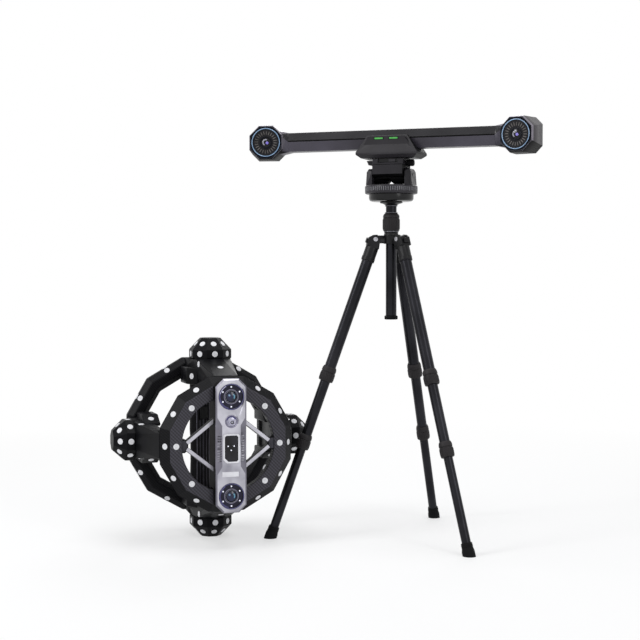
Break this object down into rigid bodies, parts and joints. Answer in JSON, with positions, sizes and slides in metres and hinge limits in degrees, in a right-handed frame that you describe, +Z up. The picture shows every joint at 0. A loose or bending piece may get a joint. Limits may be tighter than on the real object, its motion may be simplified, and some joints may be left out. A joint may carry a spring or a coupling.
{
  "type": "three-d scanner",
  "caption": "Optical scanning set: a hand-held scanner in a cage with marker knobs, and a camera tracker bar on a folding tripod with a pan and tilt head.",
  "frame": {"origin": "middle of the set's footprint box, on the floor that the feet and the scanner's lower knob stand on", "axes": "+Z up; +X along the tracker bar towards its right-hand head as one looks back at the picture's camera from behind it; the tracker looks along -Y"},
  "size_m": [0.8386, 0.5592, 0.8473],
  "materials": {
    "cast_black": "satin black casting",
    "tube_black": "satin black tube",
    "rubber": "matt black, ribbed",
    "bare_steel": "bare, brushed",
    "head_grey": "dark grey, painted",
    "tracker_grey": "dark grey-violet satin",
    "lens_cell": "dark lens cell with a glass front",
    "status_green": "green, lit",
    "cage_black": "black, fine diagonal weave",
    "silver_shell": "light silver-violet satin"
  },
  "bodies": {
    "spider": {"spider": "cast_black"},
    "column": {"centre_column": "tube_black", "column_plate": "cast_black", "column_cap": "rubber", "pan_base": "head_grey"},
    "column_lock": {"column_lock": "rubber"},
    "pan": {"pan_yoke": "head_grey", "tilt_axle": "bare_steel"},
    "tilt": {"tilt_cradle": "head_grey", "clamp_body": "head_grey"},
    "clamp_knob": {"clamp_knob": "rubber"},
    "tracker": {"mount_plate": "cast_black", "tracker_housing": "tracker_grey", "tracker_bar": "tracker_grey", "status_lights": "status_green", "tracker_head_left": "tracker_grey", "tracker_head_right": "tracker_grey", "tracker_lens_left": "lens_cell", "tracker_lens_right": "lens_cell"},
    "scanner": {"front_ring": "cage_black", "cage_frame": "cage_black", "marker_knob_top": "cage_black", "marker_knob_right": "cage_black", "marker_knob_bottom": "cage_black", "marker_knob_left": "cage_black", "camera_shell": "silver_shell", "camera_back": "cage_black", "camera_lens_top": "lens_cell", "camera_lens_bottom": "lens_cell", "laser_lens": "lens_cell", "sensor_window": "lens_cell", "grip": "rubber"},
    "trigger": {"trigger": "cast_black"},
    "leg_rear": {"leg_rear_crown": "cast_black", "leg_rear_pin": "bare_steel", "leg_rear_upper_tube": "tube_black"},
    "angle_stop_rear": {"leg_rear_angle_stop": "cast_black"},
    "upper_lock_rear": {"leg_rear_upper_lock": "rubber"},
    "middle_section_rear": {"leg_rear_middle_tube": "tube_black"},
    "lower_lock_rear": {"leg_rear_lower_lock": "rubber"},
    "lower_section_rear": {"leg_rear_lower_tube": "tube_black", "leg_rear_foot": "rubber"},
    "leg_left": {"leg_left_crown": "cast_black", "leg_left_pin": "bare_steel", "leg_left_upper_tube": "tube_black"},
    "angle_stop_left": {"leg_left_angle_stop": "cast_black"},
    "upper_lock_left": {"leg_left_upper_lock": "rubber"},
    "middle_section_left": {"leg_left_middle_tube": "tube_black"},
    "lower_lock_left": {"leg_left_lower_lock": "rubber"},
    "lower_section_left": {"leg_left_lower_tube": "tube_black", "leg_left_foot": "rubber"},
    "leg_right": {"leg_right_crown": "cast_black", "leg_right_pin": "bare_steel", "leg_right_upper_tube": "tube_black"},
    "angle_stop_right": {"leg_right_angle_stop": "cast_black"},
    "upper_lock_right": {"leg_right_upper_lock": "rubber"},
    "middle_section_right": {"leg_right_middle_tube": "tube_black"},
    "lower_lock_right": {"leg_right_lower_lock": "rubber"},
    "lower_section_right": {"leg_right_lower_tube": "tube_black", "leg_right_foot": "rubber"}
  },
  "joints": [
    {"name": "leg_rear_fold", "type": "hinge", "parent": "spider", "child": "leg_rear", "pos_m": [0.11454, 0.05303, 0.609], "axis": [-0.9945, 0.1045, 0], "range_deg": [0, 19]},
    {"name": "angle_stop_rear_pull", "type": "slide", "parent": "leg_rear", "child": "angle_stop_rear", "axis": [0.0986, 0.9381, 0.3322], "range_m": [0, 0.004]},
    {"name": "upper_lock_rear_twist", "type": "hinge", "parent": "leg_rear", "child": "upper_lock_rear", "pos_m": [0.12461, 0.14883, 0.33547], "axis": [-0.0347, -0.3303, 0.9432], "range_deg": [0, 90]},
    {"name": "middle_section_rear_slide", "type": "slide", "parent": "leg_rear", "child": "middle_section_rear", "axis": [-0.0347, -0.3303, 0.9432], "range_m": [0, 0.11]},
    {"name": "lower_lock_rear_twist", "type": "hinge", "parent": "middle_section_rear", "child": "lower_lock_rear", "pos_m": [0.12968, 0.19706, 0.19775], "axis": [-0.0347, -0.3303, 0.9432], "range_deg": [0, 90]},
    {"name": "lower_section_rear_slide", "type": "slide", "parent": "middle_section_rear", "child": "lower_section_rear", "axis": [-0.0347, -0.3303, 0.9432], "range_m": [0, 0.16]},
    {"name": "leg_left_fold", "type": "hinge", "parent": "spider", "child": "leg_left", "pos_m": [0.08074, 0.00651, 0.609], "axis": [0.4067, -0.9135, 0], "range_deg": [0, 19]},
    {"name": "angle_stop_left_pull", "type": "slide", "parent": "leg_left", "child": "angle_stop_left", "axis": [-0.8617, -0.3836, 0.3322], "range_m": [0, 0.004]},
    {"name": "upper_lock_left_twist", "type": "hinge", "parent": "leg_left", "child": "upper_lock_left", "pos_m": [-0.00726, -0.03267, 0.33547], "axis": [0.3034, 0.1351, 0.9432], "range_deg": [0, 90]},
    {"name": "middle_section_left_slide", "type": "slide", "parent": "leg_left", "child": "middle_section_left", "axis": [0.3034, 0.1351, 0.9432], "range_m": [0, 0.11]},
    {"name": "lower_lock_left_twist", "type": "hinge", "parent": "middle_section_left", "child": "lower_lock_left", "pos_m": [-0.05156, -0.0524, 0.19775], "axis": [0.3034, 0.1351, 0.9432], "range_deg": [0, 90]},
    {"name": "lower_section_left_slide", "type": "slide", "parent": "middle_section_left", "child": "lower_section_left", "axis": [0.3034, 0.1351, 0.9432], "range_m": [0, 0.16]},
    {"name": "leg_right_fold", "type": "hinge", "parent": "spider", "child": "leg_right", "pos_m": [0.13793, 0.0005, 0.609], "axis": [0.5878, 0.809, 0], "range_deg": [0, 19]},
    {"name": "angle_stop_right_pull", "type": "slide", "parent": "leg_right", "child": "angle_stop_right", "axis": [0.7631, -0.5544, 0.3322], "range_m": [0, 0.004]},
    {"name": "upper_lock_right_twist", "type": "hinge", "parent": "leg_right", "child": "upper_lock_right", "pos_m": [0.21586, -0.05612, 0.33547], "axis": [-0.2687, 0.1952, 0.9432], "range_deg": [0, 90]},
    {"name": "middle_section_right_slide", "type": "slide", "parent": "leg_right", "child": "middle_section_right", "axis": [-0.2687, 0.1952, 0.9432], "range_m": [0, 0.11]},
    {"name": "lower_lock_right_twist", "type": "hinge", "parent": "middle_section_right", "child": "lower_lock_right", "pos_m": [0.2551, -0.08463, 0.19775], "axis": [-0.2687, 0.1952, 0.9432], "range_deg": [0, 90]},
    {"name": "lower_section_right_slide", "type": "slide", "parent": "middle_section_right", "child": "lower_section_right", "axis": [-0.2687, 0.1952, 0.9432], "range_m": [0, 0.16]},
    {"name": "column_slide", "type": "slide", "parent": "spider", "child": "column", "axis": [0, 0, 1], "range_m": [-0.012, 0.12]},
    {"name": "column_lock_twist", "type": "hinge", "parent": "spider", "child": "column_lock", "pos_m": [0.11107, 0.02001, 0.644], "axis": [0, 0, 1], "range_deg": [0, 90]},
    {"name": "head_pan", "type": "hinge", "parent": "column", "child": "pan", "pos_m": [0.11107, 0.02001, 0.709], "axis": [0, 0, 1], "continuous": true},
    {"name": "head_tilt", "type": "hinge", "parent": "pan", "child": "tilt", "pos_m": [0.11107, 0.02001, 0.7382], "axis": [1, 0, 0], "range_deg": [-30, 30]},
    {"name": "clamp_knob_turn", "type": "hinge", "parent": "tilt", "child": "clamp_knob", "pos_m": [0.15107, 0.02001, 0.764], "axis": [1, 0, 0], "range_deg": [0, 180]},
    {"name": "plate_slide", "type": "slide", "parent": "tilt", "child": "tracker", "axis": [0, 1, 0], "range_m": [-0.02, 0.02]},
    {"name": "scanner_lift", "type": "slide", "parent": "spider", "child": "scanner", "axis": [0, 0, 1], "range_m": [0, 0.3]},
    {"name": "trigger_press", "type": "slide", "parent": "scanner", "child": "trigger", "axis": [-0.6157, 0.788, 0], "range_m": [0, 0.004], "stiffness_N_per_m": 400, "springref_m": -0.001}
  ]
}
